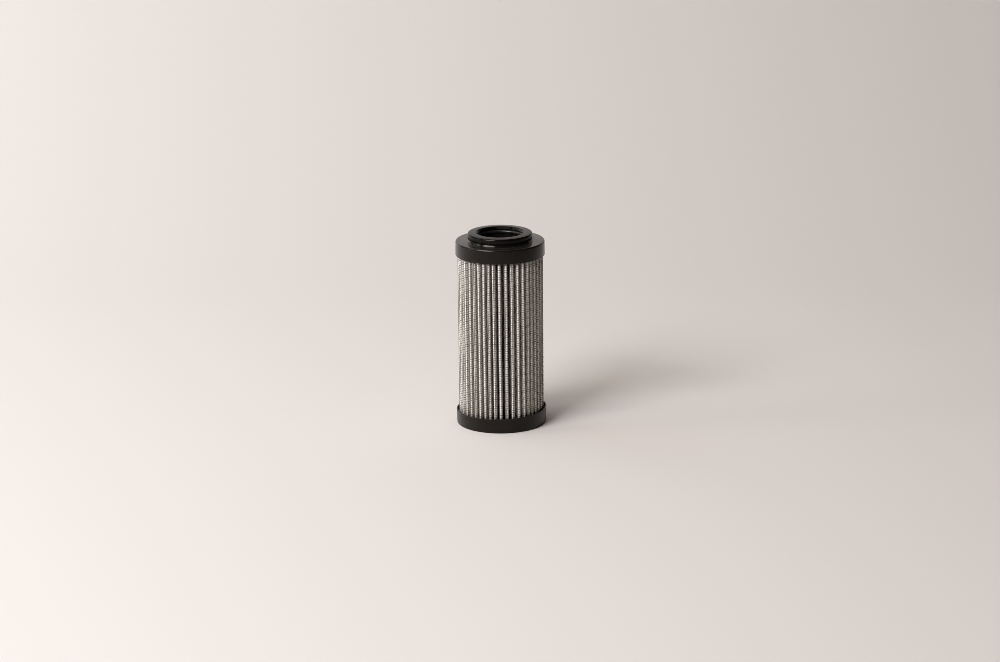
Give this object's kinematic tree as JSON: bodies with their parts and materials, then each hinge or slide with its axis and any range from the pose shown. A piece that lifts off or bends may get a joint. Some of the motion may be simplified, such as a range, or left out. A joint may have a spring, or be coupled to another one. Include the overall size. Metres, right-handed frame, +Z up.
{
  "type": "hydraulic pressure filter element",
  "caption": "Upright pleated cartridge filter: black moulded end caps, one closed and one with a raised sealed bore, round a mesh-covered pleat pack on a perforated core tube.",
  "frame": {"origin": "middle of the flat base of the closed end cap, at the surface it stands on", "axes": "+Z up the element's own axis, through the open bore; -Y is the side that faces the camera in the picture"},
  "size_m": [0.053, 0.053, 0.1148],
  "materials": {
    "cap_plastic": "satin moulded, fine grain",
    "collar_plastic": "smooth moulded",
    "seal_rubber": "smooth, slightly oily",
    "core_steel": "plain tinned strip",
    "coated_mesh": "pale grey resin coat over woven wire",
    "media_fleece": "matt spunbond fleece",
    "media_glass": "matt glass fibre web",
    "inner_steel": "fine woven wire",
    "adhesive": "cast resin"
  },
  "bodies": {
    "root": {"top_end_cap": "cap_plastic", "seal_retainer": "collar_plastic", "bore_o_ring": "seal_rubber", "bottom_end_cap": "cap_plastic", "core_tube": "core_steel", "outer_mesh": "coated_mesh", "outer_fleece": "media_fleece", "filter_media": "media_glass", "inner_fleece": "media_fleece", "inner_mesh": "inner_steel", "seam_clip": "core_steel", "top_potting": "adhesive", "bottom_potting": "adhesive"}
  },
  "joints": []
}
